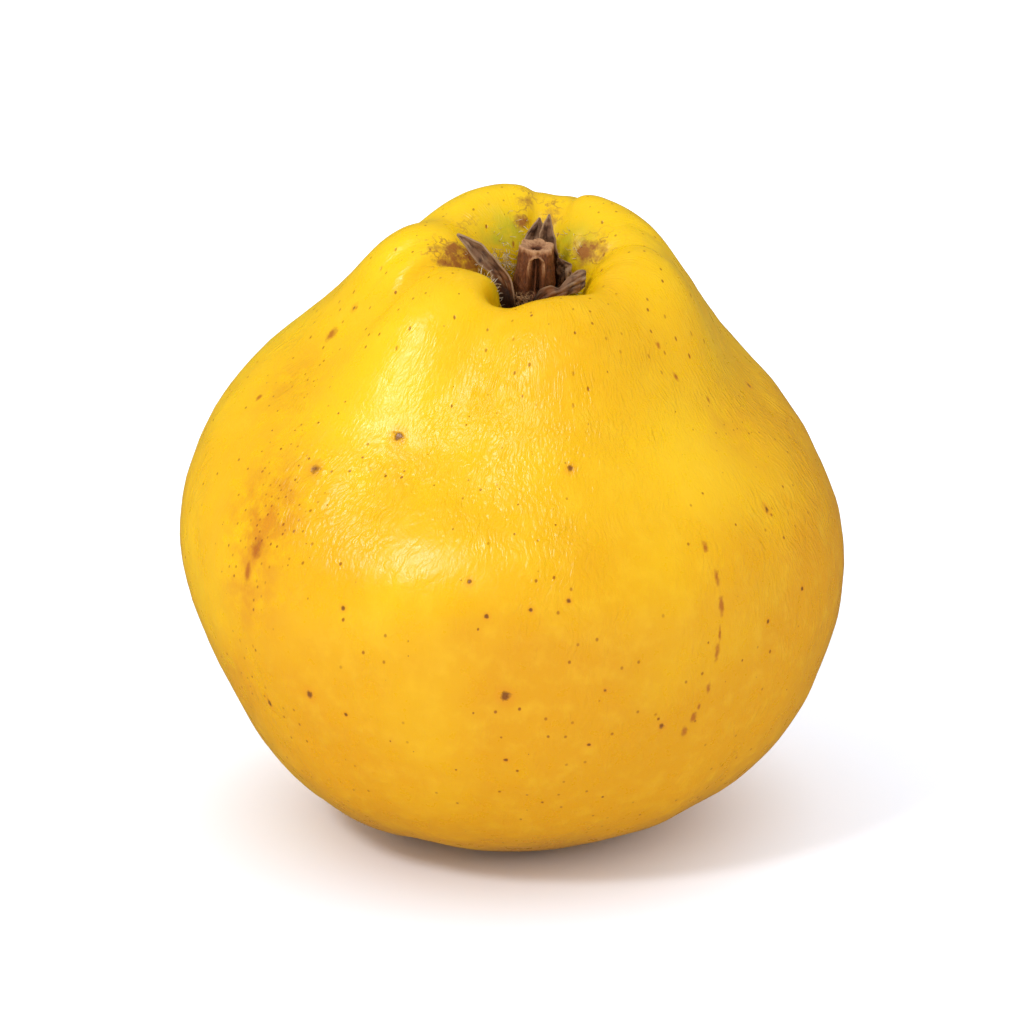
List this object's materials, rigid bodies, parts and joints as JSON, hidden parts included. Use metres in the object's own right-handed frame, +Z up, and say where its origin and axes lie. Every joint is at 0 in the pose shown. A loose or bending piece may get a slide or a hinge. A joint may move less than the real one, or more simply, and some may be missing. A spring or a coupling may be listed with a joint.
{
  "type": "quince fruit",
  "caption": "Whole ripe quince standing on its stalk end, with a ribbed crown, a deep basin and the dried woody remains of its flower in it.",
  "frame": {"origin": "on the surface that the fruit rests on, under the middle of its outline", "axes": "+Z up from the stalk end to the crown, front faces -Y, +X to the right seen from the front"},
  "size_m": [0.0908, 0.0902, 0.0877],
  "materials": {
    "skin": "satin",
    "bark": "matte",
    "dried_sepal": "matte",
    "withered_stamen": "matte"
  },
  "bodies": {
    "root": {"fruit": "skin", "woody_stub": "bark", "sepal_left": "dried_sepal", "sepal_back_left": "dried_sepal", "sepal_back_right": "dried_sepal", "sepal_right": "dried_sepal", "sepal_front_right": "dried_sepal", "stamen_tuft_left": "withered_stamen", "stamen_tuft_front": "withered_stamen", "stalk_stump": "bark"}
  },
  "joints": []
}
